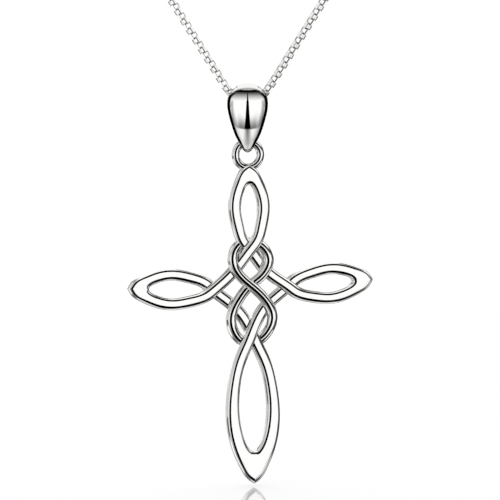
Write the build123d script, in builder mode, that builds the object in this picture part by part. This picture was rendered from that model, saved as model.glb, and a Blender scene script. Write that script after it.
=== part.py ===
"""Cross and infinity pendant on a fine box chain. Millimetres.

The necklace hangs as it is worn. The origin is where it rests on the nape of the neck, +Z is up, and the front of the
pendant faces -Y. The pendant hangs below the lowest run of the chain, in the plane X = 0.
"""
import math
import os
from collections import namedtuple

from build123d import *

os.makedirs("parts", exist_ok=True)

# Cross: reaches are measured from the middle of the knot to each pointed tip
TOP_REACH = 12.25
BOTTOM_REACH = 19.95
ARM_REACH = 12.6
TOP_HALF_WIDTH = 2.1
BOTTOM_HALF_WIDTH = 2.75
ARM_HALF_WIDTH = 2.12
ARM_TIP_RISE = 0.2
STRAND_WIDTH = 1.25
STRAND_THICKNESS = 1.1
STRAND_EDGE_ROUND = 0.4
FUSE_TOLERANCE = 0.0001

# Where the strand crosses itself, from the middle of the knot
TOP_CROSSING = 3.7
BOTTOM_CROSSING = 4.6
SIDE_CROSSING = 3.85
SIDE_CROSSING_DROP = 0.25
OVER_DEPTH = 0.3

# Infinity loop, to the middle of its wire
INFINITY_WIRE = 1.06
UPPER_LOBE_HEIGHT = 4.46
UPPER_LOBE_HALF_WIDTH = 1.84
LOWER_LOBE_HEIGHT = 5.86
LOWER_LOBE_HALF_WIDTH = 2.1
INFINITY_DEPTH = 0.5
MIDDLE_UNDER_DEPTH = 0.15

# Ring soldered to the top tip, to the middle of its wire
RING_RADIUS = 1.27
RING_WIRE = 0.8
RING_SEAT = 0.92

# How the cross hangs in its rest position: turned on its ring, and leaning in its own plane, in degrees
HANG_TURN = 13.0
HANG_LEAN = 1.1

# Bail: two round ends joined by straight sides when seen from the side
BAIL_DROP = 4.25
BAIL_TOP_ROUND = 1.6
BAIL_WALL = 0.32
BAIL_EYE_ROUND = 1.1
BAIL_EYE_HOLE = 0.86
BAIL_HALF_WIDTH = 2.04
BAIL_CROWN = 0.58
BAIL_HOLLOW_CROWN = 0.38
EYE_CROWN_SHARE = 0.4

# How far the bail and the cross swing forward and back, in degrees
BAIL_SWING = 20.0
CROSS_SWING = 20.0

# Chain and clasp
CHAIN_THICKNESS = 0.8
CHAIN_BAIL_ARC = 1.8
ROUTE_ARC_SHARE = 0.45
CLASP_THICKNESS = 2.4
CLASP_EDGE = 0.5

# Half of the chain's route, from the clasp's end over the wearer's left side to the lowest run inside the bail
CHAIN_ROUTE = [
    (5.0, 0.0, 0.0),
    (27.0, 0.0, 0.0),
    (48.0, -11.0, -4.5),
    (60.0, -32.0, -12.0),
    (60.0, -57.0, -24.0),
    (49.0, -80.0, -41.0),
    (33.5, -99.0, -63.5),
    (15.6, -109.0, -91.3),
    (1.45, -109.0, -114.0),
]

BAIL_SECTIONS_REACH = 1.02 * BAIL_HALF_WIDTH

chain_low = Vector(0, *CHAIN_ROUTE[-1][1:])
eye = chain_low - Vector(0, 0, BAIL_DROP)
knot_drop = RING_RADIUS + RING_SEAT + TOP_REACH

# The cross's own frame: from the middle of the bail's eye, X runs along its arms, Y into its back and Z up its stem
turn = math.radians(HANG_TURN)
lean = math.radians(HANG_LEAN)
cross_frame = Plane(
    origin=eye,
    x_dir=(math.cos(turn) * math.cos(lean), math.sin(turn) * math.cos(lean), math.sin(lean)),
    z_dir=(-math.cos(turn) * math.sin(lean), -math.sin(turn) * math.sin(lean), math.cos(lean)),
)

# A loop's two edges, from the strand's crossing, along = 0, to the pointed tip, along = 1. The side shares are of the
# loop's half width, and rise is the share of the crossing's depth that the strand still has there.
LoopRow = namedtuple("LoopRow", "outer_along outer_side inner_along inner_side rise")
SHORT_LOOP = [
    LoopRow(0.036, 0.51, 0.127, 0.043, 0.70),
    LoopRow(0.249, 0.848, 0.289, 0.276, 0.20),
    LoopRow(0.491, 1.0, 0.491, 0.405, 0.0),
    LoopRow(0.713, 0.84, 0.66, 0.27, 0.0),
    LoopRow(0.85, 0.60, 0.722, 0.16, 0.0),
    LoopRow(0.95, 0.33, 0.747, 0.07, 0.0),
    LoopRow(1.0, 0.0, 0.75, 0.0, 0.0),
]
LONG_LOOP = [
    LoopRow(0.063, 0.393, 0.093, -0.03, 0.70),
    LoopRow(0.18, 0.676, 0.211, 0.258, 0.20),
    LoopRow(0.332, 0.887, 0.345, 0.447, 0.0),
    LoopRow(0.521, 1.0, 0.521, 0.515, 0.0),
    LoopRow(0.678, 0.935, 0.652, 0.42, 0.0),
    LoopRow(0.808, 0.727, 0.735, 0.27, 0.0),
    LoopRow(0.90, 0.49, 0.77, 0.15, 0.0),
    LoopRow(0.968, 0.24, 0.7795, 0.07, 0.0),
    LoopRow(1.0, 0.0, 0.781, 0.0, 0.0),
]

# Where each diagonal bows towards the middle of the knot, as shares of the crossings' distances
UPPER_BOW = (0.447, 0.384)
LOWER_BOW = (0.416, 0.465)

# One half of the infinity, from its top to its bottom. The side and height shares are of the lobe that the row is in,
# and depth is a share of the infinity's depth: below zero is towards the viewer.
LobeRow = namedtuple("LobeRow", "lobe side height depth")
INFINITY_ROWS = [
    LobeRow("upper", 0.0, 1.0, 1.0),
    LobeRow("upper", -0.58, 0.915, 0.5),
    LobeRow("upper", -1.0, 0.583, -0.7),
    LobeRow("upper", -0.62, 0.24, -0.9),
    LobeRow("lower", 0.0, 0.0, -1.0),
    LobeRow("lower", 0.6, 0.21, -0.9),
    LobeRow("lower", 1.0, 0.51, -0.8),
    LobeRow("lower", 0.84, 0.78, 0.1),
    LobeRow("lower", 0.42, 0.945, 0.8),
    LobeRow("lower", 0.0, 1.0, 1.0),
]

# The bail's outline from the front, from its tip up to the end of its ridge. The height shares are of the distance
# from the middle of the eye to the chain, and the side shares are of the bail's half width.
OutlineRow = namedtuple("OutlineRow", "height side")
BAIL_OUTLINE = [
    OutlineRow(-0.25, 0.0),
    OutlineRow(-0.216, 0.15),
    OutlineRow(-0.13, 0.29),
    OutlineRow(0.02, 0.45),
    OutlineRow(0.15, 0.59),
    OutlineRow(0.43, 0.80),
    OutlineRow(0.70, 0.95),
    OutlineRow(0.90, 1.0),
    OutlineRow(1.05, 0.955),
    OutlineRow(1.18, 0.81),
    OutlineRow(1.30, 0.58),
]


def knot_point(x, z, depth=0.0):
    """A point in the cross's frame, from its place beside, above and behind the middle of the knot."""
    return Vector(x, depth, z - knot_drop)


def loop_sections(crossing, tip, half_width, side, rows, depth):
    """The strand's sections along one side of a pointed loop, as pairs of outer and inner points."""
    base = knot_point(*crossing)
    axis = knot_point(*tip) - base
    across = Vector(axis.Z, 0, -axis.X).normalized() * half_width * side
    into = Vector(0, depth, 0)
    sections = []
    for row in rows:
        outer = base + axis * row.outer_along + across * row.outer_side + into * row.rise
        inner = base + axis * row.inner_along + across * row.inner_side + into * row.rise
        sections.append((outer, inner))
    return sections


def middle(section):
    """The point half-way between a section's two edges."""
    return (section[0] + section[1]) * 0.5


def edges_about(centre, before, after, width):
    """A section's two edges where the strand runs from one point to another through its centre."""
    heading = after - before
    outward = Vector(heading.Z, 0, -heading.X).normalized() * (width / 2)
    return centre + outward, centre - outward


def strand_sections(first_loop, knot_centres, last_loop):
    """All sections of one strand, from tip to tip through the knot."""
    start = first_loop[::-1]
    centres = [middle(start[-1])] + knot_centres + [middle(last_loop[0])]
    inside = [
        edges_about(centres[i], centres[i - 1], centres[i + 1], STRAND_WIDTH)
        for i in range(1, len(centres) - 1)
    ]
    return start + inside + last_loop


def section_plane(section):
    """The plane through a section, with its X direction across the strand."""
    outer, inner = (cross_frame.from_local_coords(point) for point in section)
    across = (outer - inner).normalized()
    return Plane(origin=(outer + inner) * 0.5, x_dir=across, z_dir=across.cross(cross_frame.y_dir))


def mirrored(sections):
    """The same sections on the other side of the cross."""
    return [tuple(Vector(-p.X, p.Y, p.Z) for p in section) for section in sections]


def upper_strand(top_depth, side_depth):
    """From the top tip down the left side, across the knot and along the lower side of the right arm."""
    side_point = (SIDE_CROSSING, -SIDE_CROSSING_DROP)
    top_loop = loop_sections((0, TOP_CROSSING), (0, TOP_REACH), TOP_HALF_WIDTH, -1, SHORT_LOOP, top_depth)
    arm_loop = loop_sections(side_point, (ARM_REACH, ARM_TIP_RISE), ARM_HALF_WIDTH, 1, SHORT_LOOP, side_depth)
    bow = knot_point(UPPER_BOW[0] * SIDE_CROSSING, UPPER_BOW[1] * TOP_CROSSING, OVER_DEPTH)
    knot = [knot_point(0, TOP_CROSSING, top_depth), bow, knot_point(*side_point, side_depth)]
    return strand_sections(top_loop, knot, arm_loop)


def lower_strand(side_depth, bottom_depth):
    """From the right tip along the upper side of the arm, across the knot and down the left of the bottom loop."""
    side_point = (SIDE_CROSSING, -SIDE_CROSSING_DROP)
    arm_loop = loop_sections(side_point, (ARM_REACH, ARM_TIP_RISE), ARM_HALF_WIDTH, -1, SHORT_LOOP, side_depth)
    long_loop = loop_sections(
        (0, -BOTTOM_CROSSING), (0, -BOTTOM_REACH), BOTTOM_HALF_WIDTH, 1, LONG_LOOP, bottom_depth
    )
    bow = knot_point(LOWER_BOW[0] * SIDE_CROSSING, -LOWER_BOW[1] * BOTTOM_CROSSING, OVER_DEPTH)
    knot = [knot_point(*side_point, side_depth), bow, knot_point(0, -BOTTOM_CROSSING, bottom_depth)]
    return strand_sections(arm_loop, knot, long_loop)


def infinity_sections(mirror_sign, middle_depth):
    """Sections of one half of the infinity, from the middle of its top to the middle of its bottom."""
    sizes = {
        "upper": (UPPER_LOBE_HALF_WIDTH, UPPER_LOBE_HEIGHT),
        "lower": (LOWER_LOBE_HALF_WIDTH, -LOWER_LOBE_HEIGHT),
    }
    centres = []
    for row in INFINITY_ROWS:
        half_width, height = sizes[row.lobe]
        depth = row.depth * INFINITY_DEPTH
        if row.height == 0:
            depth = middle_depth
        centres.append(knot_point(row.side * half_width * mirror_sign, row.height * height, depth))
    before_top = Vector(-centres[1].X, centres[1].Y, centres[1].Z)
    after_bottom = Vector(-centres[-2].X, centres[-2].Y, centres[-2].Z)
    line = [before_top] + centres + [after_bottom]
    return [edges_about(line[i], line[i - 1], line[i + 1], INFINITY_WIRE) for i in range(1, len(line) - 1)]


def flat_sections(sections):
    """The strand's sections, flat with rounded edges."""
    profiles = []
    for section in sections:
        width = (section[0] - section[1]).length
        with BuildSketch(section_plane(section)) as profile:
            RectangleRounded(width, STRAND_THICKNESS, STRAND_EDGE_ROUND)
        profiles.append(profile.sketch)
    return profiles


def round_sections(sections):
    """The infinity's round sections."""
    profiles = []
    for section in sections:
        with BuildSketch(section_plane(section)) as profile:
            Circle(INFINITY_WIRE / 2)
        profiles.append(profile.sketch)
    return profiles


def teardrop(plane, top_round, eye_round):
    """The bail's side outline in a plane: two round ends and the straight sides that touch both."""
    slope = (top_round - eye_round) / BAIL_DROP
    level = math.sqrt(1 - slope * slope)
    top_right = (top_round * level, BAIL_DROP - top_round * slope)
    top_left = (-top_right[0], top_right[1])
    eye_right = (eye_round * level, -eye_round * slope)
    eye_left = (-eye_right[0], eye_right[1])
    with BuildSketch(plane) as profile:
        with BuildLine():
            ThreePointArc(top_right, (0, BAIL_DROP + top_round), top_left)
            Line(top_left, eye_left)
            ThreePointArc(eye_left, (0, -eye_round), eye_right)
            Line(eye_right, top_right)
        make_face()
    return profile.sketch


def bail_sections(top_round, eye_round, crown):
    """Teardrops across the bail, shrinking by a crown from the middle towards both sides."""
    profiles = []
    for step in (-1, -0.55, 0, 0.55, 1):
        drop = crown * step * step
        place = eye + Vector(step * BAIL_SECTIONS_REACH, 0, 0)
        plane = Plane(origin=place, x_dir=(0, 1, 0), z_dir=(1, 0, 0))
        profiles.append(teardrop(plane, top_round - drop, eye_round - EYE_CROWN_SHARE * drop))
    return profiles


# Cross, with its infinity and its ring
right_upper = upper_strand(OVER_DEPTH, -OVER_DEPTH)
left_upper = mirrored(upper_strand(-OVER_DEPTH, -OVER_DEPTH))
right_lower = lower_strand(OVER_DEPTH, -OVER_DEPTH)
left_lower = mirrored(lower_strand(OVER_DEPTH, OVER_DEPTH))
right_infinity = infinity_sections(1, -INFINITY_DEPTH)
left_infinity = infinity_sections(-1, MIDDLE_UNDER_DEPTH)
with BuildPart() as cross:
    castings = [
        loft(sections=flat_sections(strand), mode=Mode.PRIVATE)
        for strand in (right_upper, left_upper, right_lower, left_lower)
    ]
    castings += [
        loft(sections=round_sections(half), mode=Mode.PRIVATE) for half in (right_infinity, left_infinity)
    ]
    ring_middle = cross_frame.from_local_coords(Vector(0, 0, -RING_RADIUS))
    with BuildSketch(Plane(origin=ring_middle, x_dir=cross_frame.x_dir, z_dir=cross_frame.z_dir)):
        with Locations((RING_RADIUS, 0)):
            Circle(RING_WIRE / 2)
    castings.append(revolve(axis=Axis(ring_middle, cross_frame.y_dir), mode=Mode.PRIVATE))
    add(castings[0].fuse(*castings[1:], tol=FUSE_TOLERANCE))
cross.part.label = "cross"

# Bail
with BuildPart() as bail:
    loft(sections=bail_sections(BAIL_TOP_ROUND, BAIL_EYE_ROUND, BAIL_CROWN))
    with BuildSketch(Plane(origin=eye, x_dir=(1, 0, 0), z_dir=(0, -1, 0))):
        above = BAIL_DROP + 2 * BAIL_TOP_ROUND
        outline = [(row.side * BAIL_HALF_WIDTH, row.height * BAIL_DROP) for row in BAIL_OUTLINE]
        with BuildLine():
            Spline(*outline, tangents=[(1, 0), (-1, 1)])
            Polyline(outline[-1], (outline[-1][0], above), (0, above))
            mirror(about=Plane.YZ)
        make_face()
    extrude(amount=2 * BAIL_TOP_ROUND, both=True, mode=Mode.INTERSECT)
    loft(
        sections=bail_sections(BAIL_TOP_ROUND - BAIL_WALL, BAIL_EYE_HOLE, BAIL_HOLLOW_CROWN), mode=Mode.SUBTRACT
    )
bail.part.label = "bail"

# Chain, a tube along its route: straight runs joined by tangent arcs
half_route = [Vector(*point) for point in CHAIN_ROUTE]
route = half_route + [Vector(-p.X, p.Y, p.Z) for p in half_route[::-1]]
arc_radii = []
for before, corner, after in zip(route, route[1:], route[2:]):
    bend = math.radians((corner - before).get_angle(after - corner))
    shorter_run = min((corner - before).length, (after - corner).length)
    in_bail = corner.Z == chain_low.Z
    arc_radii.append(CHAIN_BAIL_ARC if in_bail else ROUTE_ARC_SHARE * shorter_run / math.tan(bend / 2))
print("arc radii", [round(radius, 1) for radius in arc_radii])
with BuildPart() as chain:
    with BuildLine() as chain_path:
        FilletPolyline(*route, radius=arc_radii)
    with BuildSketch(Plane(origin=route[0], z_dir=route[1] - route[0])):
        Circle(CHAIN_THICKNESS / 2)
    sweep(path=chain_path.wires()[0])
print("chain length", round(chain_path.wires()[0].length, 1))
chain.part.label = "chain"

# Clasp, a plain barrel between the chain's two ends
with BuildPart() as clasp:
    with BuildSketch(Plane.YZ.offset(-CHAIN_ROUTE[0][0])):
        Circle(CLASP_THICKNESS / 2)
    extrude(amount=2 * CHAIN_ROUTE[0][0])
    chamfer(clasp.edges().filter_by(GeomType.CIRCLE), CLASP_EDGE)
clasp.part.label = "clasp"

# The bail swings on the chain, and the cross swings in the bail's eye
bail_axis = Axis(chain_low, (1, 0, 0))
RevoluteJoint("bail_swing", chain.part, axis=bail_axis, angular_range=(-BAIL_SWING, BAIL_SWING))
RigidJoint("on_chain", bail.part, bail_axis.location)
chain.part.joints["bail_swing"].connect_to(bail.part.joints["on_chain"], angle=0)
cross_axis = Axis(eye, cross_frame.x_dir)
RevoluteJoint("cross_swing", bail.part, axis=cross_axis, angular_range=(-CROSS_SWING, CROSS_SWING))
RigidJoint("in_eye", cross.part, cross_axis.location)
bail.part.joints["cross_swing"].connect_to(cross.part.joints["in_eye"], angle=0)

for name, piece in (("cross", cross), ("bail", bail), ("chain", chain), ("clasp", clasp)):
    export_step(piece.part, f"parts/{name}.step")
    print(name, round(piece.part.volume, 2), len(piece.part.solids()), piece.part.is_valid)
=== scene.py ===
"""Cross and infinity pendant on a fine box chain: its finish, the chain's links, floor, light and camera.

The sizes below are in millimetres, as in the part's source, and meshes are written in metres. The chain's route, the
floor's reach, the camera's clipping and the materials' bump distance are in metres.
"""
import math

import bpy
import numpy as np
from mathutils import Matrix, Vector


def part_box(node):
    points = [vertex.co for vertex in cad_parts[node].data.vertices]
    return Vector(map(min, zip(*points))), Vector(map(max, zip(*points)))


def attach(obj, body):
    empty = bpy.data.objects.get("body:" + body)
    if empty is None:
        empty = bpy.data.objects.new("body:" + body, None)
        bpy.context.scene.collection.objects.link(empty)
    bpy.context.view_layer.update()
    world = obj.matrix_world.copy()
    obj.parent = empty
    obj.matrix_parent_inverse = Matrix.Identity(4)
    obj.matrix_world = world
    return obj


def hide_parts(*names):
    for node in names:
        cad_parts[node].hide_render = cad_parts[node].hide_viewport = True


MM = 0.001

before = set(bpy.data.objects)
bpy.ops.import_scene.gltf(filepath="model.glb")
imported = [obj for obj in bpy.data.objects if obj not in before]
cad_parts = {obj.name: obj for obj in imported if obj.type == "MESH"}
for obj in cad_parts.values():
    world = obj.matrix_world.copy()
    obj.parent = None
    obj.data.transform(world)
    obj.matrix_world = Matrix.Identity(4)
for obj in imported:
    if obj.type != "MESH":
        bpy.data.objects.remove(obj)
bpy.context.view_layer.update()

# Sizes of the solids that are dressed here
EYE = np.array([0.0, -109.0, -118.25])
HANG_TURN = math.radians(13.0)
HANG_LEAN = math.radians(1.1)
TOP_REACH, BOTTOM_REACH, ARM_REACH = 12.25, 19.95, 12.6
TOP_HALF_WIDTH, BOTTOM_HALF_WIDTH, ARM_HALF_WIDTH = 2.1, 2.75, 2.12
ARM_TIP_RISE = 0.2
STRAND_WIDTH, STRAND_THICKNESS, STRAND_EDGE_ROUND = 1.25, 1.1, 0.4
TOP_CROSSING, BOTTOM_CROSSING, SIDE_CROSSING, SIDE_CROSSING_DROP = 3.7, 4.6, 3.85, 0.25
OVER_DEPTH = 0.3
INFINITY_WIRE, INFINITY_DEPTH, MIDDLE_UNDER_DEPTH = 1.06, 0.5, 0.15
UPPER_LOBE_HEIGHT, UPPER_LOBE_HALF_WIDTH = 4.46, 1.84
LOWER_LOBE_HEIGHT, LOWER_LOBE_HALF_WIDTH = 5.86, 2.1
RING_RADIUS, RING_WIRE, RING_SEAT = 1.27, 0.8, 0.92
BAIL_DROP, BAIL_TOP_ROUND, BAIL_WALL = 4.25, 1.6, 0.32
BAIL_TIP_ROUND, BAIL_EYE_HOLE = 1.066, 0.86
BAIL_HALF_WIDTH, BAIL_CROWN, BAIL_HOLLOW_CROWN, EYE_CROWN_SHARE = 2.04, 0.58, 0.38, 0.4
BAIL_REACH = 1.02 * BAIL_HALF_WIDTH
CLASP_LENGTH, CLASP_THICKNESS = 10.0, 2.4

# A loop's sections, from its crossing to its tip: how far the outer edge is along the loop's axis and across it, the
# same for the inner edge, and how much of the crossing's depth is left. All are shares.
SHORT_LOOP = [
    (0.036, 0.51, 0.127, 0.043, 0.70),
    (0.249, 0.848, 0.289, 0.276, 0.20),
    (0.491, 1.0, 0.491, 0.405, 0.0),
    (0.713, 0.84, 0.66, 0.27, 0.0),
    (0.85, 0.60, 0.722, 0.16, 0.0),
    (0.95, 0.33, 0.747, 0.07, 0.0),
    (1.0, 0.0, 0.75, 0.0, 0.0),
]
LONG_LOOP = [
    (0.063, 0.393, 0.093, -0.03, 0.70),
    (0.18, 0.676, 0.211, 0.258, 0.20),
    (0.332, 0.887, 0.345, 0.447, 0.0),
    (0.521, 1.0, 0.521, 0.515, 0.0),
    (0.678, 0.935, 0.652, 0.42, 0.0),
    (0.808, 0.727, 0.735, 0.27, 0.0),
    (0.90, 0.49, 0.77, 0.15, 0.0),
    (0.968, 0.24, 0.7795, 0.07, 0.0),
    (1.0, 0.0, 0.781, 0.0, 0.0),
]
UPPER_BOW = (0.447, 0.384)
LOWER_BOW = (0.416, 0.465)
# The infinity's path: lobe, then shares of its half width, its height and its depth
INFINITY_ROWS = [
    ("upper", 0.0, 1.0, 1.0),
    ("upper", -0.58, 0.915, 0.5),
    ("upper", -1.0, 0.583, -0.7),
    ("upper", -0.62, 0.24, -0.9),
    ("lower", 0.0, 0.0, -1.0),
    ("lower", 0.6, 0.21, -0.9),
    ("lower", 1.0, 0.51, -0.8),
    ("lower", 0.84, 0.78, 0.1),
    ("lower", 0.42, 0.945, 0.8),
    ("lower", 0.0, 1.0, 1.0),
]
# The bail's outline seen from the front: shares of its drop above the eye, and of its half width
BAIL_OUTLINE = [
    (-0.25, 0.0),
    (-0.216, 0.15),
    (-0.13, 0.29),
    (0.02, 0.45),
    (0.15, 0.59),
    (0.43, 0.80),
    (0.70, 0.95),
    (0.90, 1.0),
    (1.05, 0.955),
    (1.18, 0.81),
    (1.30, 0.58),
]

# The chain's route in metres, half of it, from the clasp's end to the lowest run inside the bail. One point is
# added on the long straight leg, and the corner inside the bail has two points, so that the curve keeps near the
# solid's arc.
CHAIN_ROUTE = [
    (0.0050, 0.0000, 0.0000),
    (0.0270, 0.0000, 0.0000),
    (0.0480, -0.0110, -0.0045),
    (0.0600, -0.0320, -0.0120),
    (0.0600, -0.0570, -0.0240),
    (0.0490, -0.0800, -0.0410),
    (0.0335, -0.0990, -0.0635),
    (0.0156, -0.1090, -0.0913),
    (0.0040, -0.1090, -0.10987),
    (0.00175, -0.1090, -0.11352),
    (0.00075, -0.1090, -0.11405),
]

# One link of the box chain: a band bent into a square, each link a quarter turn on from the last
LINK_SIDE = 0.77
LINK_BAND = 0.48
LINK_THICKNESS = 0.1
LINK_CORNER = 0.09
LINK_BEVEL = 0.03
LINK_PITCH = 0.565
LINK_ROLL = math.radians(45.0)
# The links' faces are flat, and are only shaded as slightly crowned
LINK_SHADE_CROWN = 0.14
LINK_CORNER_ANGLES = np.radians([0, 30, 60, 90])
ROUTE_RESOLUTION = 40
ROUTE_LOOK_AHEAD = 0.3
SAME_PLACE = 1e-9

# How finely the smooth pieces are made, and the small roundings of the polish
STRAND_STEPS = 260
INFINITY_STEPS = 200
RING_STEPS = 160
STRAND_CROWN = 0.025
BAIL_RIM_ROUND = 0.3
EYE_RIM_DEPTH, EYE_RIM_HEIGHTS = 0.5, (0.4, 1.6)
BAIL_RIM_SHARE = 0.45
BAIL_RIM_STEPS = np.array([0.0, 0.04, 0.12, 0.24, 0.4, 0.6, 0.8, 1.0])
BAIL_ROWS = (14, 60, 34)
BAIL_COLUMNS, HOLLOW_COLUMNS = 24, 25
BAIL_OUTLINE_STEPS, BAIL_FIT_ROUNDS, BAIL_LEAST_SIDE = 600, 12, 0.004
WIRE_STEPS, EDGE_ANGLES, FACE_SHARES = 40, np.radians(np.linspace(4, 86, 8)), (0.9, 0.5, 0.0, -0.5, -0.9)
CLASP_STEPS, CLASP_EDGE_SHARE = 72, 0.08

# The radius of the long arc up the bail's side. The hollow's is so large that its sides are straight.
BAIL_SWEEP = 28.0
STRAIGHT_SWEEP = 5000.0

# How much of the strands' dip at the crossings their shading shows: none, so their fronts mirror one direction
DIP_SHADING = 0.0

# The polish: the haze's noise, the range of it that varies the roughness, and the bump of hairlines and unevenness.
# Roughness is given for each material, and varies between these two shares of it.
HAZE_SCALE, HAZE_DETAIL, HAZE_RANGE, ROUGHNESS_SPREAD = 420.0, 4.0, (0.3, 0.75), (0.7, 1.5)
HAZE_TINT = (0.965, 0.962, 0.95)
HAIRLINE_STRETCH, HAIRLINE_DETAIL = (9000.0, 9000.0, 900.0), 3.0
POLISH_BUMP, BUMP_DISTANCE = 0.25, 0.000004
# The hollow's tint is painted shade: it darkens the bail's inside, where shade falls in the recess
BRIGHT_TINT, LINK_TINT, HOLLOW_PAINTED_SHADE_TINT = (0.955, 0.953, 0.945), (0.95, 0.948, 0.94), (0.2, 0.198, 0.194)

TENT_STRENGTH = 1.08
BACKDROP_STRENGTH = 1.05
FLOOR_GLOW = 0.18
FLOOR_GAP = 0.2
FLOOR_REACH = 6.0
FLOOR_TINT, FLOOR_ROUGHNESS, FLOOR_IOR = (0.96, 0.96, 0.96, 1.0), 0.06, 1.25
WHITE = (1.0, 1.0, 1.0, 1.0)

# Camera: the photograph's frame is 50 mm wide at the pendant, seen from a little above
PIXEL = 0.1
FRAME_PIXELS = 500
EYE_PIXEL = (247.6, 141.8)
CAMERA_ELEVATION = math.radians(5.0)
CAMERA_DISTANCE = 1000.0
SENSOR_WIDTH = 36.0
CLIP_START, CLIP_END = 0.01, 50.0

RIGHT_WAY, BACK_WAY = np.array([1.0, 0.0, 0.0]), np.array([0.0, 1.0, 0.0])
MIRROR = np.array([-1.0, 1.0, 1.0])


def unit(vectors):
    """The same vectors at length one."""
    return vectors / np.maximum(np.linalg.norm(vectors, axis=-1, keepdims=True), 1e-12)


def natural_spline(knots, values, at):
    """A natural cubic spline through rows of values, read at some parameters, with its first derivative."""
    knots, values, at = np.asarray(knots, float), np.asarray(values, float), np.asarray(at, float)
    n = len(knots)
    gaps = np.diff(knots)
    matrix, right = np.eye(n), np.zeros_like(values)
    for i in range(1, n - 1):
        matrix[i, i - 1], matrix[i, i], matrix[i, i + 1] = gaps[i - 1], 2 * (gaps[i - 1] + gaps[i]), gaps[i]
        right[i] = 6 * ((values[i + 1] - values[i]) / gaps[i] - (values[i] - values[i - 1]) / gaps[i - 1])
    bend = np.linalg.solve(matrix, right)
    i = np.clip(np.searchsorted(knots, at, side="right") - 1, 0, n - 2)
    h = gaps[i][:, None]
    a, b = (knots[i + 1] - at)[:, None], (at - knots[i])[:, None]
    low, high = values[i], values[i + 1]
    point = (bend[i] * a**3 + bend[i + 1] * b**3) / (6 * h)
    point = point + (low / h - bend[i] * h / 6) * a + (high / h - bend[i + 1] * h / 6) * b
    slope = (bend[i + 1] * b**2 - bend[i] * a**2) / (2 * h)
    slope = slope + (high - low) / h - (bend[i + 1] - bend[i]) * h / 6
    return point, slope


class Shell:
    """Collects points, faces and a normal for each corner, and makes one mesh of them."""

    def __init__(self):
        self.points, self.faces, self.normals, self.finishes, self.count = [], [], [], [], 0

    def add_points(self, points):
        """Adds points, and gives their numbers in the same arrangement."""
        points = np.asarray(points, float)
        start = self.count
        self.points.append(points.reshape(-1, 3))
        self.count += points.size // 3
        return np.arange(start, self.count).reshape(points.shape[:-1])

    def add_faces(self, corners, normals, finish=0):
        """Faces that face the way that their corners' normals do. Finish is the number of their material."""
        points = np.concatenate(self.points)
        first, second, last = (points[corners[:, k]] for k in (0, 1, -1))
        facing = np.sum(np.cross(second - first, last - first) * normals.sum(axis=1), axis=1)
        for wanted, order in ((facing >= 0, slice(None)), (facing < 0, slice(None, None, -1))):
            if wanted.any():
                self.faces.append(corners[wanted][:, order])
                self.normals.append(normals[wanted][:, order])
                self.finishes += [finish] * int(wanted.sum())

    def add_grid(self, index, normals, close_rows=False, close_columns=False, finish=0):
        """Four-sided faces over a grid of points. Rows run along the first axis."""
        rows, columns = index.shape
        i = np.arange(rows if close_rows else rows - 1)
        j = np.arange(columns if close_columns else columns - 1)
        i, j = (g.ravel() for g in np.meshgrid(i, j, indexing="ij"))
        i2, j2 = (i + 1) % rows, (j + 1) % columns
        corners = [(i, j), (i2, j), (i2, j2), (i, j2)]
        at_corners = np.stack([normals[c] for c in corners], 1)
        self.add_faces(np.stack([index[c] for c in corners], 1), at_corners, finish)

    def add_cap(self, ring, middle, normal):
        """Triangles from a closed ring of points to a middle one."""
        corners = np.stack([ring, np.roll(ring, -1), np.full_like(ring, middle)], axis=1)
        self.add_faces(corners, np.broadcast_to(normal, corners.shape + (3,)).copy())

    def make(self, name, *materials):
        """The Blender object, with its corner normals kept."""
        points = np.concatenate(self.points) * MM
        faces = [face for block in self.faces for face in block.tolist()]
        normals = unit(np.concatenate([block.reshape(-1, 3) for block in self.normals]))
        mesh = bpy.data.meshes.new(name)
        mesh.from_pydata(points.tolist(), [], faces)
        mesh.shade_smooth()
        mesh.normals_split_custom_set(normals.tolist())
        for material in materials:
            mesh.materials.append(material)
        mesh.polygons.foreach_set("material_index", self.finishes)
        obj = bpy.data.objects.new(name, mesh)
        bpy.context.scene.collection.objects.link(obj)
        return obj


def set_inputs(shader_node, **values):
    """Sets a node's inputs by name, with _ for a space."""
    for name, value in values.items():
        shader_node.inputs[name.replace("_", " ")].default_value = value


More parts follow.
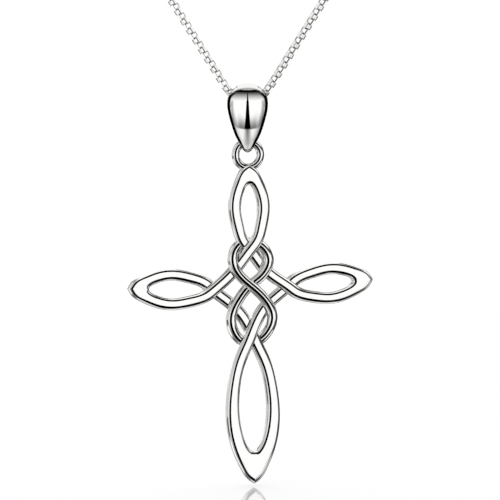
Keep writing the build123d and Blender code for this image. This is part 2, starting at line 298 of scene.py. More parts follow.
def silver(name, roughness, tint, scratch, grain):
    """Polished silver: a faint haze in patches, hairline wear and a very fine unevenness of the polish."""
    material = bpy.data.materials.new(name)
    material.use_nodes = True
    nodes, links = material.node_tree.nodes, material.node_tree.links
    shader = nodes["Principled BSDF"]
    set_inputs(shader, Metallic=1.0)
    place = nodes.new("ShaderNodeTexCoord")
    haze = nodes.new("ShaderNodeTexNoise")
    set_inputs(haze, Scale=HAZE_SCALE, Detail=HAZE_DETAIL)
    links.new(place.outputs["Object"], haze.inputs["Vector"])
    tone = nodes.new("ShaderNodeMapRange")
    set_inputs(tone, From_Min=HAZE_RANGE[0], From_Max=HAZE_RANGE[1])
    set_inputs(tone, To_Min=roughness * ROUGHNESS_SPREAD[0], To_Max=roughness * ROUGHNESS_SPREAD[1])
    links.new(haze.outputs["Fac"], tone.inputs["Value"])
    links.new(tone.outputs["Result"], shader.inputs["Roughness"])
    shade = nodes.new("ShaderNodeMix")
    shade.data_type = "RGBA"
    shade.inputs["A"].default_value = (*tint, 1.0)
    shade.inputs["B"].default_value = (*(part * less for part, less in zip(tint, HAZE_TINT)), 1.0)
    links.new(haze.outputs["Fac"], shade.inputs["Factor"])
    links.new(shade.outputs["Result"], shader.inputs["Base Color"])
    stretch = nodes.new("ShaderNodeMapping")
    set_inputs(stretch, Scale=HAIRLINE_STRETCH)
    hairlines = nodes.new("ShaderNodeTexNoise")
    set_inputs(hairlines, Scale=1.0, Detail=HAIRLINE_DETAIL)
    links.new(place.outputs["Object"], stretch.inputs["Vector"])
    links.new(stretch.outputs["Vector"], hairlines.inputs["Vector"])
    polish = nodes.new("ShaderNodeTexNoise")
    set_inputs(polish, Scale=grain, Detail=1.0)
    links.new(place.outputs["Object"], polish.inputs["Vector"])
    worn, uneven = nodes.new("ShaderNodeBump"), nodes.new("ShaderNodeBump")
    set_inputs(worn, Strength=scratch, Distance=BUMP_DISTANCE)
    set_inputs(uneven, Strength=POLISH_BUMP, Distance=BUMP_DISTANCE)
    links.new(hairlines.outputs["Fac"], worn.inputs["Height"])
    links.new(polish.outputs["Fac"], uneven.inputs["Height"])
    links.new(worn.outputs["Normal"], uneven.inputs["Normal"])
    links.new(uneven.outputs["Normal"], shader.inputs["Normal"])
    return material


# The bail's roughness is low enough to count as a perfect mirror, and the light tells its rays from the rest by that
cast_silver = silver("cast_silver", 0.045, BRIGHT_TINT, 0.05, 700.0)
bail_silver = silver("bail_silver", 0.0024, BRIGHT_TINT, 0.04, 500.0)
# The bail's hollow: a rougher silver whose dark tint is painted shade inside the recess
hollow_painted_shade_silver = silver("hollow_painted_shade_silver", 0.3, HOLLOW_PAINTED_SHADE_TINT, 0.5, 900.0)
link_silver = silver("link_silver", 0.12, LINK_TINT, 0.1, 1500.0)


# The cross: its own axes, turned and leaned as it hangs
across_dir = np.array([
    math.cos(HANG_TURN) * math.cos(HANG_LEAN), math.sin(HANG_TURN) * math.cos(HANG_LEAN), math.sin(HANG_LEAN)
])
stem_dir = np.array([
    -math.cos(HANG_TURN) * math.sin(HANG_LEAN), -math.sin(HANG_TURN) * math.sin(HANG_LEAN), math.cos(HANG_LEAN)
])
back_dir = np.cross(stem_dir, across_dir)
knot_drop = RING_RADIUS + RING_SEAT + TOP_REACH


def from_cross(points):
    """Points of the cross's own frame, in the row's frame."""
    return EYE + from_cross_turn(points)


def from_cross_turn(vectors):
    """Directions of the cross's own frame, in the row's frame."""
    return vectors[..., :1] * across_dir + vectors[..., 1:2] * back_dir + vectors[..., 2:] * stem_dir


def knot_point(x, z, depth=0.0):
    """A point by its place from the knot's middle, in the cross's own frame."""
    return np.array([x, depth, z - knot_drop])


def loop_sections(crossing, tip, half_width, side, rows, depth):
    """The outer and inner edge points of half a loop, from its crossing to its tip."""
    base = knot_point(*crossing)
    axis = knot_point(*tip) - base
    across = unit(np.array([axis[2], 0.0, -axis[0]])) * half_width * side
    into = np.array([0.0, depth, 0.0])
    sections = []
    for outer_along, outer_beside, inner_along, inner_beside, dip in rows:
        outer = base + axis * outer_along + across * outer_beside + into * dip
        inner = base + axis * inner_along + across * inner_beside + into * dip
        sections.append((outer, inner))
    return sections


def edges_about(centre, before, after, width):
    """The two edge points of a strand at one of its centres, square to its neighbours' line."""
    heading = after - before
    outward = unit(np.array([heading[2], 0.0, -heading[0]])) * (width / 2)
    return centre + outward, centre - outward


def strand_sections(first_loop, knot_centres, last_loop):
    """A strand from the first loop's tip, through the knot, to the last loop's tip."""
    start = first_loop[::-1]
    centres = [(start[-1][0] + start[-1][1]) / 2] + knot_centres + [(last_loop[0][0] + last_loop[0][1]) / 2]
    triples = zip(centres, centres[1:], centres[2:])
    inside = [edges_about(centre, before, after, STRAND_WIDTH) for before, centre, after in triples]
    return start + inside + last_loop


def mirrored(sections):
    """The same sections on the other side of the cross."""
    return [(outer * MIRROR, inner * MIRROR) for outer, inner in sections]


def upper_strand(top_depth, side_depth):
    """From the top tip to an arm's tip, along the arm's lower edge."""
    side_point = (SIDE_CROSSING, -SIDE_CROSSING_DROP)
    top_loop = loop_sections((0, TOP_CROSSING), (0, TOP_REACH), TOP_HALF_WIDTH, -1, SHORT_LOOP, top_depth)
    arm_loop = loop_sections(side_point, (ARM_REACH, ARM_TIP_RISE), ARM_HALF_WIDTH, 1, SHORT_LOOP, side_depth)
    bow = knot_point(UPPER_BOW[0] * SIDE_CROSSING, UPPER_BOW[1] * TOP_CROSSING, OVER_DEPTH)
    knot = [knot_point(0, TOP_CROSSING, top_depth), bow, knot_point(*side_point, side_depth)]
    return strand_sections(top_loop, knot, arm_loop)


def lower_strand(side_depth, bottom_depth):
    """From an arm's tip, along the arm's upper edge, to the bottom tip."""
    side_point = (SIDE_CROSSING, -SIDE_CROSSING_DROP)
    arm_loop = loop_sections(side_point, (ARM_REACH, ARM_TIP_RISE), ARM_HALF_WIDTH, -1, SHORT_LOOP, side_depth)
    long_loop = loop_sections(
        (0, -BOTTOM_CROSSING), (0, -BOTTOM_REACH), BOTTOM_HALF_WIDTH, 1, LONG_LOOP, bottom_depth
    )
    bow = knot_point(LOWER_BOW[0] * SIDE_CROSSING, -LOWER_BOW[1] * BOTTOM_CROSSING, OVER_DEPTH)
    knot = [knot_point(*side_point, side_depth), bow, knot_point(0, -BOTTOM_CROSSING, bottom_depth)]
    return strand_sections(arm_loop, knot, long_loop)


def infinity_sections(mirror_sign, middle_depth):
    """Half of the infinity, from the top of its upper lobe to the bottom of its lower one."""
    sizes = {
        "upper": (UPPER_LOBE_HALF_WIDTH, UPPER_LOBE_HEIGHT),
        "lower": (LOWER_LOBE_HALF_WIDTH, -LOWER_LOBE_HEIGHT),
    }
    centres = []
    for lobe, side, height, depth in INFINITY_ROWS:
        half_width, reach = sizes[lobe]
        into = middle_depth if height == 0 else depth * INFINITY_DEPTH
        centres.append(knot_point(side * half_width * mirror_sign, height * reach, into))
    line = [centres[1] * MIRROR] + centres + [centres[-2] * MIRROR]
    return [edges_about(line[i], line[i - 1], line[i + 1], INFINITY_WIRE) for i in range(1, len(line) - 1)]


def rounded_profile(width, thickness, edge, crown):
    """Points and normals round a flat section with rounded edges and slightly crowned faces."""
    points, normals = [], []
    flat_x, flat_y = width / 2 - edge, thickness / 2 - edge
    for sx, sy, order in ((1, 1, 1), (-1, 1, -1), (-1, -1, 1), (1, -1, -1)):
        for angle in EDGE_ANGLES[::order]:
            points.append((sx * (flat_x + edge * math.cos(angle)), sy * (flat_y + edge * math.sin(angle))))
            normals.append((sx * math.cos(angle), sy * math.sin(angle)))
        if (sx, sy) in ((1, 1), (-1, -1)):
            for share in FACE_SHARES:
                points.append((sx * flat_x * share, sy * thickness / 2))
                normals.append((0.0, sy))
    points, normals = np.array(points), np.array(normals)
    face = 1 - (2 * points[:, 0] / width) ** 2
    lean = 8 * crown * points[:, 0] / width**2
    points[:, 1] -= crown * (1 - face) * normals[:, 1]
    normals[:, 0] += lean * np.abs(normals[:, 1])
    return points, unit(normals)


def round_profile(diameter):
    """Points and normals round a wire."""
    angle = np.linspace(0, 2 * math.pi, WIRE_STEPS, endpoint=False)
    normals = np.stack([np.cos(angle), np.sin(angle)], axis=1)
    return normals * diameter / 2, normals


def add_strand(shell, sections, profile_of, steps):
    """A strand swept smoothly through its sections. Its normals are exact but for the dips at the crossings."""
    outer = np.array([section[0] for section in sections])
    inner = np.array([section[1] for section in sections])
    centres, halves = (outer + inner) / 2, (outer - inner) / 2
    knots = np.concatenate([[0], np.cumsum(np.linalg.norm(np.diff(centres, axis=0), axis=1))])
    at = np.linspace(0, knots[-1], steps)
    centre, centre_slope = natural_spline(knots, centres, at)
    half, half_slope = natural_spline(knots, halves, at)
    rows, row_normals = [], []
    for c, dc, h, dh in zip(centre, centre_slope, half, half_slope):
        width = 2 * np.linalg.norm(h)
        across = h / np.linalg.norm(h)
        points, normals = profile_of(width)
        place = c + points[:, :1] * across + points[:, 1:] * BACK_WAY
        round_way = -normals[:, 1:] * across + normals[:, :1] * BACK_WAY
        along = (dc + (points[:, :1] / (width / 2)) * dh) * (1.0, DIP_SHADING, 1.0)
        normal = np.cross(round_way, along)
        outward = normals[:, :1] * across + normals[:, 1:] * BACK_WAY
        normal *= np.sign(np.sum(normal * outward, axis=1, keepdims=True))
        rows.append(place)
        row_normals.append(unit(normal))
    rows, row_normals = np.array(rows), np.array(row_normals)
    index = shell.add_points(from_cross(rows))
    shell.add_grid(index, from_cross_turn(row_normals), close_columns=True)
    for end, facing in ((0, -1), (-1, 1)):
        middle = shell.add_points(from_cross(centre[end][None, :]))[0]
        shell.add_cap(index[end], middle, from_cross_turn(unit(centre_slope[end]) * facing))


cross_shell = Shell()
strands = [
    upper_strand(OVER_DEPTH, -OVER_DEPTH),
    mirrored(upper_strand(-OVER_DEPTH, -OVER_DEPTH)),
    lower_strand(OVER_DEPTH, -OVER_DEPTH),
    mirrored(lower_strand(OVER_DEPTH, OVER_DEPTH)),
]
for strand in strands:
    add_strand(
        cross_shell,
        strand,
        lambda width: rounded_profile(width, STRAND_THICKNESS, STRAND_EDGE_ROUND, STRAND_CROWN),
        STRAND_STEPS,
    )
for half in (infinity_sections(1, -INFINITY_DEPTH), infinity_sections(-1, MIDDLE_UNDER_DEPTH)):
    add_strand(cross_shell, half, lambda width: round_profile(INFINITY_WIRE), INFINITY_STEPS)

# The jump ring, about a middle that is its radius below the eye
around = np.linspace(0, 2 * math.pi, RING_STEPS, endpoint=False)[:, None]
section, section_normals = round_profile(RING_WIRE)
outward = np.concatenate([np.sin(around), 0 * around, np.cos(around)], axis=1)
ring_points = (
    np.array([0.0, 0.0, -RING_RADIUS])
    + outward[:, None, :] * (RING_RADIUS + section[None, :, :1])
    + BACK_WAY * section[None, :, 1:]
)
ring_normals = outward[:, None, :] * section_normals[None, :, :1] + BACK_WAY * section_normals[None, :, 1:]
cross_shell.add_grid(
    cross_shell.add_points(from_cross(ring_points)),
    from_cross_turn(ring_normals),
    close_rows=True,
    close_columns=True,
)
cross_piece = cross_shell.make("cross_polished", cast_silver)
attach(cross_piece, "cross")
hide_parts("cross")


# The bail: its outline seen from the front, mirrored at the bottom so that it starts out level
outline = np.array([(side * BAIL_HALF_WIDTH, height * BAIL_DROP) for height, side in BAIL_OUTLINE])
outline_knots = np.concatenate([[0], np.cumsum(np.linalg.norm(np.diff(outline, axis=0), axis=1))])
mirror_knots = np.concatenate([-outline_knots[:0:-1], outline_knots])
mirror_outline = np.concatenate([outline[:0:-1] * (-1, 1), outline])
outline_line, outline_slope = natural_spline(
    mirror_knots, mirror_outline, np.linspace(0, outline_knots[-1], BAIL_OUTLINE_STEPS)
)
outline_out = unit(np.stack([outline_slope[:, 1], -outline_slope[:, 0]], axis=1))
outline_height = np.maximum.accumulate(outline_line[:, 1])


def outline_side(height):
    """How far the bail reaches sideways at some heights above the eye, and the outline's normal there."""
    side = np.interp(height, outline_height, outline_line[:, 0], left=0.0)
    out_x = np.interp(height, outline_height, outline_out[:, 0], left=0.0, right=1.0)
    out_z = np.interp(height, outline_height, outline_out[:, 1], left=-1.0, right=0.0)
    return np.maximum(side, BAIL_LEAST_SIDE), np.stack([out_x, 0 * out_x, out_z], axis=-1)


def teardrop_point(part, share, top_round, eye_round, sweep):
    """A point and normal (out, up) on the bail's side outline.

    Part 0 is the eye's arc, 1 the long one up the side, and 2 the top's.
    """
    eye_far, top_far = sweep - eye_round, sweep - top_round
    low = (eye_far**2 - top_far**2 + BAIL_DROP**2) / (2 * BAIL_DROP)
    back = np.sqrt(eye_far**2 - low**2)
    eye_angle, top_angle = -np.arctan2(low, back), -np.arctan2(low - BAIL_DROP, back)
    start = np.where(part == 0, -math.pi / 2, np.where(part == 1, eye_angle, top_angle))
    end = np.where(part == 0, eye_angle, np.where(part == 1, top_angle, math.pi / 2))
    angle = start + share * (end - start)
    radius = np.where(part == 0, eye_round, np.where(part == 1, sweep, top_round))
    out = radius * np.cos(angle) - np.where(part == 1, back, 0.0)
    up = radius * np.sin(angle) + np.where(part == 0, 0.0, np.where(part == 1, low, BAIL_DROP))
    return out, up, np.cos(angle), np.sin(angle)


def bail_surface(part, share, across, top_round, eye_round, crown, sweep):
    """Points, normals, rim directions and half widths of a crowned teardrop's front half, with across from -1 to 1.

    A point's height and the half width there depend on each other, so they are worked out in a few rounds.
    """
    reach = np.zeros(np.broadcast(part, across).shape)
    side, _ = outline_side(teardrop_point(part, share, top_round, eye_round, sweep)[1] + 0 * reach)
    for _ in range(BAIL_FIT_ROUNDS):
        x = across * side
        drop = crown * (x / BAIL_REACH) ** 2
        rounds = (top_round - drop, eye_round - EYE_CROWN_SHARE * drop)
        out, up, out_n, up_n = teardrop_point(part, share, *rounds, sweep)
        side, rim = outline_side(up)
    x = across * side
    height_share = np.clip(up / BAIL_DROP, 0, 1)
    shrink = 2 * crown * x / BAIL_REACH**2 * (EYE_CROWN_SHARE + (1 - EYE_CROWN_SHARE) * height_share)
    normal = unit(np.stack([shrink, -out_n, up_n], axis=-1))
    return np.stack([x, -out, up], axis=-1), normal, rim, side


def bail_rows():
    """The rows round the front half of the teardrop, from the bottom of the eye to the top of the ridge."""
    last = len(BAIL_ROWS) - 1
    part = np.repeat(np.arange(len(BAIL_ROWS)), BAIL_ROWS)
    share = np.concatenate([np.linspace(0, 1, rows, endpoint=n == last) for n, rows in enumerate(BAIL_ROWS)])
    return part[:, None], share[:, None]


part_of_row, share_of_row = bail_rows()
outer_args = (BAIL_TOP_ROUND, BAIL_TIP_ROUND, BAIL_CROWN, BAIL_SWEEP)
_, _, _, plain_side = bail_surface(part_of_row, share_of_row, np.array([[1.0]]), *outer_args)
edge = np.minimum(BAIL_RIM_ROUND, BAIL_RIM_SHARE * plain_side)
right_edge = 1 - BAIL_RIM_STEPS[None, :] * edge / plain_side
inside = np.linspace(0, 1, BAIL_COLUMNS)[None, 1:-1]
right_rest = right_edge[:, -1:] * (1 - 2 * inside)
across = np.concatenate([right_edge, right_rest, -right_edge[:, ::-1]], axis=1)
place, normal, rim, side = bail_surface(part_of_row, share_of_row, across, *outer_args)
turned = np.clip(1 - (1 - np.abs(across)) * side / edge, 0, 1)[..., None]
level = np.sqrt(1 - turned**2)
sign = np.sign(across)[..., None]
rim_way = rim * np.concatenate([sign, np.ones_like(sign), np.ones_like(sign)], axis=-1)
inward = normal - rim_way * np.sum(normal * rim_way, axis=-1, keepdims=True)
# The ring passes close by the eye's rims at its limits, so the rims are rounded less deeply there.
rim_depth = edge * np.interp(place[:, :1, 2], EYE_RIM_HEIGHTS, (EYE_RIM_DEPTH, 1.0))
place = place - unit(inward) * rim_depth[..., None] * (1 - level)
outer_normal = unit(normal * level + rim_way * turned)

hollow_args = (BAIL_TOP_ROUND - BAIL_WALL, BAIL_EYE_HOLE, BAIL_HOLLOW_CROWN, STRAIGHT_SWEEP)
hollow_across = np.linspace(1, -1, HOLLOW_COLUMNS)[None, :]
hollow, hollow_normal, _, _ = bail_surface(part_of_row, share_of_row, hollow_across, *hollow_args)

bail_shell = Shell()
for flip_depth in (1, -1):
    way = np.array([1.0, flip_depth, 1.0])
    outer_index = bail_shell.add_points(EYE + place * way)
    inner_index = bail_shell.add_points(EYE + hollow * way)
    bail_shell.add_grid(outer_index, outer_normal * way)
    # The hollow's faces take the second material, with its painted shade
    bail_shell.add_grid(inner_index, -hollow_normal * way, finish=1)
    for column in (0, -1):
        strip = np.stack([outer_index[:, column], inner_index[:, column]], axis=1)
        facing = rim_way[:, column] * way
        bail_shell.add_grid(strip, np.stack([facing, facing], axis=1))
bail_piece = bail_shell.make("bail_polished", bail_silver, hollow_painted_shade_silver)
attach(bail_piece, "bail")
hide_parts("bail")


def route_points():
    """Points along the smooth curve that has the route as its control points."""
    whole = CHAIN_ROUTE + [(-x, y, z) for x, y, z in CHAIN_ROUTE[::-1]]
    curve = bpy.data.curves.new("chain_route", "CURVE")
    curve.dimensions = "3D"
    spline = curve.splines.new("NURBS")
    spline.points.add(len(whole) - 1)
    for point, place in zip(spline.points, whole):
        point.co = (*place, 1.0)
    spline.order_u = 3
    spline.use_endpoint_u = True
    spline.resolution_u = ROUTE_RESOLUTION
    holder = bpy.data.objects.new("chain_route", curve)
    bpy.context.scene.collection.objects.link(holder)
    bpy.context.view_layer.update()
    mesh = bpy.data.meshes.new_from_object(holder)
    points = np.array([v.co for v in mesh.vertices]) / MM
    bpy.data.objects.remove(holder)
    bpy.data.curves.remove(curve)
    bpy.data.meshes.remove(mesh)
    return points


def link_shape():
    """Points and normals of one link, as rings round its band. Axes: across, band, along."""
    path, path_out = [], []
    flat = LINK_SIDE / 2 - LINK_CORNER
    for quarter, (sx, sz) in enumerate(((1, 1), (-1, 1), (-1, -1), (1, -1))):
        for angle in LINK_CORNER_ANGLES + quarter * math.pi / 2:
            out = np.array([math.cos(angle), 0.0, math.sin(angle)])
            path.append(np.array([sx * flat, 0.0, sz * flat]) + out * LINK_CORNER)
            path_out.append(out)
    half, edge, crown = LINK_BAND / 2, LINK_BAND / 2 - LINK_BEVEL, LINK_SHADE_CROWN
    inner, inner_edge = -LINK_THICKNESS, -LINK_THICKNESS + LINK_BEVEL
    ring = [
        (0.0, -edge), (0.0, edge), (-LINK_BEVEL, half), (inner_edge, half),
        (inner, edge), (inner, -edge), (inner_edge, -half), (-LINK_BEVEL, -half),
    ]
    ring_out = [
        (1, -crown), (1, crown), (crown, 1), (-crown, 1),
        (-1, crown), (-1, -crown), (-crown, -1), (crown, -1),
    ]
    points, normals = [], []
    for place, out in zip(path, path_out):
        points.append([place + out * depth + np.array([0, band, 0]) for depth, band in ring])
        normals.append([out * depth + np.array([0, band, 0]) for depth, band in ring_out])
    return np.array(points), unit(np.array(normals, float))


line = route_points()
run = np.concatenate([[0], np.cumsum(np.linalg.norm(np.diff(line, axis=0), axis=1))])
keep = np.concatenate([[True], np.diff(run) > SAME_PLACE])
line, run = line[keep], run[keep]
link_count = 2 * int(round(run[-1] / LINK_PITCH / 2))
pitch = run[-1] / link_count
middle_of_link = (np.arange(link_count) + 0.5) * pitch


def along_route(distance):
    """Points at some distances along the route."""
    return np.stack([np.interp(distance, run, line[:, k]) for k in range(3)], axis=1)


centres = along_route(middle_of_link)
along = unit(along_route(middle_of_link + ROUTE_LOOK_AHEAD) - along_route(middle_of_link - ROUTE_LOOK_AHEAD))

# From the bail outward on each side, each link's sideways direction is the last one's, kept square to the route
half_count = link_count // 2
turned_by = np.zeros((link_count, 3))
for start, step in ((half_count, 1), (half_count - 1, -1)):
    across_now = BACK_WAY
    i = start
    while 0 <= i < link_count:
        across_now = unit(across_now - along[i] * np.dot(across_now, along[i]))
        turned_by[i] = across_now
        i += step
sideways = np.cross(along, turned_by)
number = np.arange(link_count)
steps_out = np.where(number >= half_count, number - half_count, half_count - 1 - number)
roll = LINK_ROLL + (steps_out % 2) * math.pi / 2 + (number < half_count) * math.pi / 2
link_across = turned_by * np.cos(roll)[:, None] + sideways * np.sin(roll)[:, None]
link_band = np.cross(along, link_across)

link_points, link_normals = link_shape()


def link_frame(values):
    """Values of one link's own frame, for every link in its place."""
    return (
        values[None, ..., :1] * link_across[:, None, None, :]
        + values[None, ..., 1:2] * link_band[:, None, None, :]
        + values[None, ..., 2:] * along[:, None, None, :]
    )


all_points = centres[:, None, None, :] + link_frame(link_points)
all_normals = link_frame(link_normals)
for name, chosen in (("chain_links_right", number < half_count), ("chain_links_left", number >= half_count)):
    chain_shell = Shell()
    points, normals = all_points[chosen], all_normals[chosen]
    index = chain_shell.add_points(points)
    _, rings, columns = index.shape
    j, k = (g.ravel() for g in np.meshgrid(np.arange(rings), np.arange(columns), indexing="ij"))
    j2, k2 = (j + 1) % rings, (k + 1) % columns
    picks = [(j, k), (j2, k), (j2, k2), (j, k2)]
    faces = np.stack([index[:, a, b] for a, b in picks], axis=-1).reshape(-1, 4)
    face_normals = np.stack([normals[:, a, b] for a, b in picks], axis=-2).reshape(-1, 4, 3)
    chain_shell.add_faces(faces, face_normals)
    piece = chain_shell.make(name, link_silver)
    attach(piece, "chain")
    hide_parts("chain")


# The clasp: a turned barrel
clasp_shell = Shell()
half_length, radius = CLASP_LENGTH / 2, CLASP_THICKNESS / 2
# Its profile as distances from one end and radii, up to its middle and then mirrored
clasp_profile = [
    (0.0, 0.0), (0.0, 0.55), (0.06, 0.66), (0.5, 1.14), (0.62, radius), (1.5, radius), (1.56, radius - 0.07),
    (1.68, radius - 0.07), (1.74, radius), (half_length - 0.12, radius), (half_length - 0.06, radius - 0.08),
    (half_length, radius - 0.08),
]
clasp_profile += [(CLASP_LENGTH - x, r) for x, r in clasp_profile[-2::-1]]
fine = []
for (x0, r0), (x1, r1) in zip(clasp_profile, clasp_profile[1:]):
    dx, dr = (x1 - x0) * CLASP_EDGE_SHARE, (r1 - r0) * CLASP_EDGE_SHARE
    fine += [(x0, r0), (x0 + dx, r0 + dr), (x1 - dx, r1 - dr)]
fine.append(clasp_profile[-1])
fine = np.array(fine)
slope = np.gradient(fine, axis=0)
turn = np.linspace(0, 2 * math.pi, CLASP_STEPS, endpoint=False)[None, :, None]
spoke = np.concatenate([0 * turn, np.cos(turn), np.sin(turn)], axis=2)
barrel = RIGHT_WAY * (fine[:, None, :1] - half_length) + spoke * fine[:, None, 1:]
barrel_normal = unit(spoke * slope[:, None, :1] - RIGHT_WAY * slope[:, None, 1:])
clasp_shell.add_grid(clasp_shell.add_points(barrel), barrel_normal, close_columns=True)
clasp_piece = clasp_shell.make("clasp_barrel", bail_silver)
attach(clasp_piece, "chain")
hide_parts("clasp")


# The floor
floor_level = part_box("cross")[0].z - FLOOR_GAP * MM
floor_mesh = bpy.data.meshes.new("floor")
corners = [(x * FLOOR_REACH, y * FLOOR_REACH, floor_level) for x, y in ((-1, -1), (1, -1), (1, 1), (-1, 1))]
floor_mesh.from_pydata(corners, [], [(0, 1, 2, 3)])
floor = bpy.data.objects.new("floor", floor_mesh)
bpy.context.scene.collection.objects.link(floor)
floor_material = bpy.data.materials.new("pale_gloss_floor")
floor_material.use_nodes = True
floor_shader = floor_material.node_tree.nodes["Principled BSDF"]
set_inputs(floor_shader, Base_Color=FLOOR_TINT, Roughness=FLOOR_ROUGHNESS, IOR=FLOOR_IOR)
set_inputs(floor_shader, Emission_Color=WHITE, Emission_Strength=FLOOR_GLOW)
floor_mesh.materials.append(floor_material)
# The metal mirrors the tent alone, below as above
floor.visible_glossy = False


# The light: a white tent with dark gaps, as brightness by direction
world = bpy.data.worlds.new("light_tent")
bpy.context.scene.world = world
world.use_nodes = True
tree = world.node_tree
tree.nodes.clear()


def node(kind, **settings):
    """A new node in the world's tree, with its settings."""
    made = tree.nodes.new(kind)
    for key, value in settings.items():
        setattr(made, key, value)
    return made


def math_node(operation, first, second=None, third=None, clamp=False):
    """The output of a Math node. Each value is a number or another node's output."""
    made = node("ShaderNodeMath", operation=operation, use_clamp=clamp)
    for slot_number, value in enumerate((first, second, third)):
        if value is None:
            continue
        if isinstance(value, (int, float)):
            made.inputs[slot_number].default_value = value
        else:
            tree.links.new(value, made.inputs[slot_number])
    return made.outputs[0]


def product(first, *others):
    """All the values multiplied."""
    for other in others:
        first = math_node("MULTIPLY", first, other)
    return first


def largest(first, *others):
    """The largest of the values."""
    for other in others:
        first = math_node("MAXIMUM", first, other)
    return first


def less(first, second):
    """The first value less the second."""
    return math_node("SUBTRACT", first, second)


def opposite(value):
    """1 less the value."""
    return math_node("SUBTRACT", 1.0, value)


def slanted(value, slope, start, clamp=False):
    """A value that starts at start and changes by slope for each unit of the given one."""
    return math_node("MULTIPLY_ADD", value, slope, start, clamp=clamp)


def bounded(value, low, high):
    """The value, kept between low and high."""
    return math_node("MAXIMUM", math_node("MINIMUM", value, high), low)


def rise(value, low, high):
    """0 below low, 1 above high, and smooth between."""
    made = node("ShaderNodeMapRange", interpolation_type="SMOOTHSTEP", clamp=True)
    tree.links.new(value, made.inputs["Value"])
    set_inputs(made, From_Min=low, From_Max=high)
    return made.outputs["Result"]


def fall(value, low, high):
    """1 below low, 0 above high, and smooth between."""
    return opposite(rise(value, low, high))


def within(value, low, high, soft):
    """1 between low and high, with soft ends."""
    up = rise(value, low - soft / 2, low + soft / 2)
    down = rise(value, high - soft / 2, high + soft / 2)
    return math_node("SUBTRACT", up, down, clamp=True)


# A direction as degrees round from the viewer, positive to the right, and degrees above the horizon
parts = node("ShaderNodeSeparateXYZ")
tree.links.new(node("ShaderNodeTexCoord").outputs["Generated"], parts.inputs[0])
toward_viewer = math_node("MULTIPLY", parts.outputs["Y"], -1.0)
azimuth = math_node("DEGREES", math_node("ARCTAN2", parts.outputs["X"], toward_viewer))
height = math_node("DEGREES", math_node("ARCSINE", parts.outputs["Z"]))
aside = math_node("ABSOLUTE", azimuth)

# The white panel that the cross's flat fronts mirror, with its dark frame. All angles are in degrees.
PANEL_AZIMUTH, PANEL_BOTTOM, PANEL_HEIGHT = 26.0, -5.0, 10.0
FRAME_START, FRAME_END, FRAME_DROOP = (3.6, 5.2), (50.0, 60.0), 0.3
# The heights of the parts that the chain's faces mirror, low and high, to the sides
SIDE_AZIMUTH, LOW_CHAIN, HIGH_CHAIN, CHAIN_SOFT = 90.0, (-43.0, -23.0), (25.0, 41.0), 5.0
RIGHT_DARK, LINK_END_DARK, BEHIND_DARK, SHOULDER_DARK, BELOW_DARK = 0.94, 0.9, 0.85, 0.75, 0.3


def cross_tent():
    """What the cross and the chain mirror: a white panel in a dark frame, a grey left, and darkness behind."""
    beside = less(azimuth, PANEL_AZIMUTH)
    above = less(height, PANEL_BOTTOM)
    above_size = math_node("ABSOLUTE", above)
    height_size = math_node("ABSOLUTE", height)
    past_panel = less(above, bounded(above, 0.0, PANEL_HEIGHT))
    away = math_node("SQRT", math_node("MULTIPLY_ADD", beside, beside, product(past_panel, past_panel)))
    away_far = math_node("MULTIPLY_ADD", math_node("MINIMUM", above, 0.0), FRAME_DROOP, away)
    open_right = product(rise(beside, 0.0, 8.0), fall(above_size, 6.0, 14.0))
    frame_gap = product(rise(away, *FRAME_START), fall(away_far, *FRAME_END), opposite(open_right))

    # The chain's faces mirror two parts at each side, which stay white, and its links' ends the parts between
    off_side = math_node("ABSOLUTE", less(aside, SIDE_AZIMUTH))
    low_chain = product(fall(off_side, 22.0, 30.0), within(height, *LOW_CHAIN, CHAIN_SOFT))
    high_chain = product(fall(off_side, 8.0, 12.0), within(height, *HIGH_CHAIN, CHAIN_SOFT))
    off_chain = opposite(largest(low_chain, high_chain))
    end_rows = largest(within(height, -21.0, -8.0, 4.0), within(height_size, 46.0, 68.0, 6.0))
    link_ends = product(fall(off_side, 24.0, 30.0), end_rows, LINK_END_DARK)

    # Behind, only what is below the horizon is dark, because the floor mirrors what is above it
    floor_side = fall(height, -3.0, 0.0)
    low_enough = largest(fall(aside, 140.0, 150.0), floor_side)
    right_rows = within(height, -48.0, 22.0, 16.0)
    right_dark = product(rise(azimuth, 68.0, 82.0), right_rows, low_enough, off_chain, RIGHT_DARK)
    grey_depth = slanted(rise(above_size, 8.0, 30.0), 0.38, 0.4)
    grey_depth = math_node("MULTIPLY_ADD", rise(above, 8.0, 30.0), -0.3, grey_depth)
    left = math_node("MULTIPLY", azimuth, -1.0)
    past_level = math_node("MAXIMUM", less(above_size, 8.0), 0.0)
    left_reach = math_node("MULTIPLY_ADD", past_level, 1.5, left)
    left_side = product(rise(left_reach, 36.0, 60.0), rise(left, 0.0, 20.0), fall(above_size, 50.0, 70.0))
    left_grey = product(left_side, low_enough, off_chain, grey_depth)
    behind = product(rise(aside, 158.0, 172.0), floor_side, fall(above_size, 10.0, 22.0), BEHIND_DARK)
    shoulders = product(within(aside, 128.0, 162.0, 12.0), within(height, 8.0, 36.0, 8.0), SHOULDER_DARK)
    below = product(fall(height, -75.0, -55.0), BELOW_DARK)
    dark = largest(frame_gap, right_dark, left_grey, behind, shoulders, link_ends, below)
    return math_node("SUBTRACT", 1.0, dark, clamp=True)


# The bail's horizon, which is the curve under its dome, drops towards the middle. It parts the lobes from the floor.
HORIZON_BEND, HORIZON_LOW, HORIZON_HIGH = 0.0082, -21.3, -6.0
SIDE_LEAST, SIDE_MOST, LEFT_SHIFT = 9.0, 49.0, 2.0


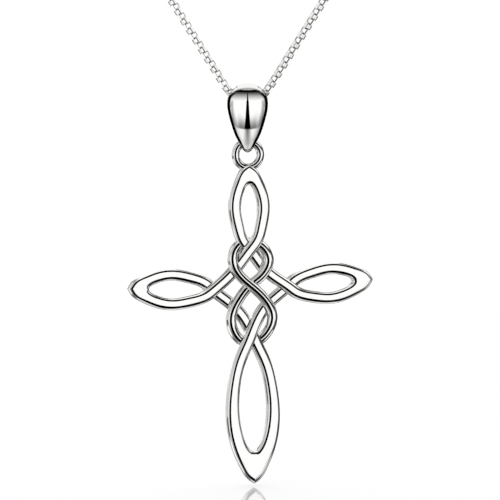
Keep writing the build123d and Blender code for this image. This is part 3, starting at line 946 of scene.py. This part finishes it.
def bail_tent():
    """What the bail mirrors: two bright lobes parted by a slit, above a bright floor, between dark sides."""
    horizon = math_node("MINIMUM", slanted(product(aside, aside), HORIZON_BEND, HORIZON_LOW), HORIZON_HIGH)
    above = less(height, horizon)

    # The angle over the top, from the viewer to the back: a fading front wall, a dark bar, then a light ceiling
    over = math_node("DEGREES", math_node("ARCTAN2", parts.outputs["Z"], toward_viewer))
    over_top = math_node("ADD", over, product(math_node("LESS_THAN", over, -90.0), 360.0))
    wall_top = product(fall(height, 50.0, 60.0), 0.09)
    front_wall = largest(slanted(height, -0.0165, 0.89, clamp=True), wall_top)
    ceiling_edge = largest(rise(height, 71.0, 78.0), rise(over_top, 82.0, 90.0))
    ceiling = math_node("MULTIPLY_ADD", ceiling_edge, 0.42, product(rise(over_top, 90.0, 106.0), 0.5))
    sky = largest(product(front_wall, fall(over_top, 80.0, 84.0)), ceiling)

    # The lobes darken just above the horizon, and a slit that narrows upward parts them
    middle_shade = product(fall(above, 0.3, 6.3), fall(aside, 14.0, 30.0), 0.8)
    edge_shade = product(fall(above, 0.2, 3.4), 0.6)
    glow = opposite(largest(middle_shade, edge_shade))
    slit_half_width = largest(slanted(height, -0.22, 1.5), slanted(height, -0.02, 2.5))
    slit = less(slit_half_width, aside)
    upper = product(sky, glow, fall(slit, -0.6, 0.6))

    # The floor has a grey band down its middle and darkens to the sides
    band_depth = bounded(slanted(height, -0.038, -1.57), -0.75, -0.4)
    lower = math_node("MULTIPLY_ADD", fall(aside, 0.0, 9.0), band_depth, 0.93)
    lower = math_node("MULTIPLY_ADD", rise(aside, 12.0, 30.0), -0.2, lower)
    upper_part = rise(above, -0.4, 0.4)
    both = math_node("ADD", product(upper, upper_part), product(lower, opposite(upper_part)))

    # The dark sides come in towards the bottom, a little more on the right
    limit = bounded(largest(slanted(height, 2.4, 61.0), slanted(height, 1.75, 53.0)), SIDE_LEAST, SIDE_MOST)
    limit = math_node("MULTIPLY_ADD", math_node("LESS_THAN", azimuth, 0.0), LEFT_SHIFT, limit)
    past = less(aside, limit)
    low_back = opposite(product(rise(aside, 118.0, 132.0), rise(height, 22.0, 30.0)))
    off_back = largest(fall(aside, 154.0, 161.0), fall(height, 0.0, 8.0))
    side_dark = product(rise(past, -6.0, 5.0), fall(height, 42.0, 58.0), low_back, off_back)
    edge_grey = product(rise(aside, 154.0, 161.0), fall(height, 4.0, 16.0), 0.4)
    return product(both, opposite(largest(side_dark, edge_grey)))


# The bail's polish is a perfect mirror, which tells its rays from the others, so the two are lit apart. The camera
# sees neither tent, but a plain backdrop.
light_path = node("ShaderNodeLightPath")
perfect_mirror, seen = light_path.outputs["Is Singular Ray"], light_path.outputs["Is Camera Ray"]
bright = math_node("ADD", product(bail_tent(), perfect_mirror), product(cross_tent(), opposite(perfect_mirror)))
bright = math_node("MULTIPLY", bright, TENT_STRENGTH)
strength = math_node("MULTIPLY_ADD", seen, BACKDROP_STRENGTH, math_node("MULTIPLY", opposite(seen), bright))
background = node("ShaderNodeBackground")
tree.links.new(strength, background.inputs["Strength"])
set_inputs(background, Color=WHITE)
tree.links.new(background.outputs[0], node("ShaderNodeOutputWorld").inputs["Surface"])


# The camera
toward = np.array([0.0, -math.cos(CAMERA_ELEVATION), math.sin(CAMERA_ELEVATION)])
image_up = np.array([0.0, math.sin(CAMERA_ELEVATION), math.cos(CAMERA_ELEVATION)])
half_frame = FRAME_PIXELS / 2
aim = EYE + RIGHT_WAY * (half_frame - EYE_PIXEL[0]) * PIXEL
aim = aim - image_up * (half_frame - EYE_PIXEL[1]) * PIXEL
camera_data = bpy.data.cameras.new("camera")
camera_data.sensor_fit = "HORIZONTAL"
camera_data.sensor_width = SENSOR_WIDTH
camera_data.lens = SENSOR_WIDTH * CAMERA_DISTANCE / (FRAME_PIXELS * PIXEL)
camera_data.clip_start, camera_data.clip_end = CLIP_START, CLIP_END
camera = bpy.data.objects.new("camera", camera_data)
bpy.context.scene.collection.objects.link(camera)
camera.location = Vector((aim + toward * CAMERA_DISTANCE) * MM)
camera.rotation_euler = (math.pi / 2 - CAMERA_ELEVATION, 0.0, 0.0)
bpy.context.scene.camera = camera

settings = bpy.context.scene.view_settings
settings.view_transform = "Standard"
settings.look = "None"
settings.exposure = 0.0
settings.gamma = 1.0
